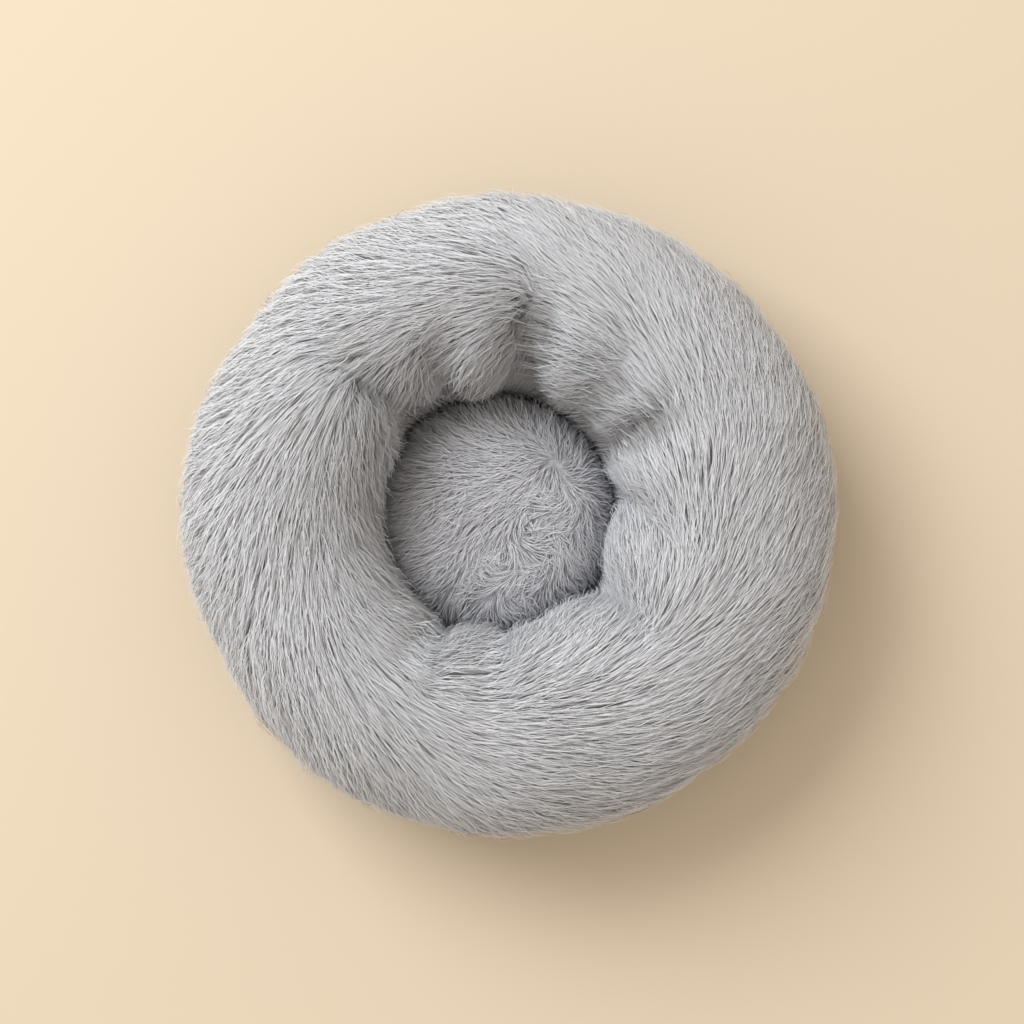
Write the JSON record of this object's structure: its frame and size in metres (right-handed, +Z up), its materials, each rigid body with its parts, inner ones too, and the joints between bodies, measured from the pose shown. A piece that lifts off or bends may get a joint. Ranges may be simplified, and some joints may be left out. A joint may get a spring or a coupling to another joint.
{
  "type": "pet cushion bed",
  "caption": "Round long-pile plush pet bed: a stuffed ring with a deep nest and a loose domed cushion in its middle, on a flat base with a zip round the lower edge.",
  "frame": {"origin": "centre of the flat underside of the base panel, which is the bottom centre of the ring", "axes": "+Z up through the nest; +X towards the middle of the zip; the picture looks down -Z with +Y at its top"},
  "size_m": [0.5, 0.5, 0.175],
  "materials": {
    "ring_plush": "long pale grey polyester pile, matt",
    "cushion_plush": "long mid grey polyester pile, matt",
    "liner_cloth": "white non-woven lining",
    "polyester_fibre": "loose white fibre",
    "base_cloth": "dark grey woven cloth",
    "cushion_cloth": "dark grey woven cloth",
    "label_satin": "white satin ribbon, blank",
    "zip_tape": "grey woven tape",
    "zip_nylon": "grey nylon coil",
    "zip_metal": "plain nickel-plated zinc"
  },
  "bodies": {
    "ring": {"ring_cover_left": "ring_plush", "ring_cover_right": "ring_plush", "ring_liner_top": "liner_cloth", "ring_liner_bottom": "liner_cloth", "ring_filling": "polyester_fibre", "base_panel": "base_cloth", "care_label": "label_satin", "zip_tape_upper": "zip_tape", "zip_tape_lower": "zip_tape", "zip_coil_upper": "zip_nylon", "zip_coil_lower": "zip_nylon", "zip_top_stop_upper": "zip_metal", "zip_top_stop_lower": "zip_metal", "zip_bottom_stop": "zip_metal"},
    "cushion": {"cushion_top_cover": "cushion_plush", "cushion_bottom_cover": "cushion_cloth", "cushion_filling": "polyester_fibre"},
    "zip_slider": {"slider_body": "zip_metal"},
    "zip_pull": {"pull_tab": "zip_metal"}
  },
  "joints": [
    {"name": "cushion_lift", "type": "slide", "parent": "ring", "child": "cushion", "axis": [0, 0, 1], "range_m": [0, 0.2]},
    {"name": "slider_run", "type": "hinge", "parent": "ring", "child": "zip_slider", "pos_m": [0, 0, 0], "axis": [0, 0, 1], "range_deg": [0, 143]},
    {"name": "pull_swing", "type": "hinge", "parent": "zip_slider", "child": "zip_pull", "pos_m": [0.07673, -0.22932, 0.02115], "axis": [-0.1808, 0.5404, -0.8217], "range_deg": [0, 180]}
  ]
}
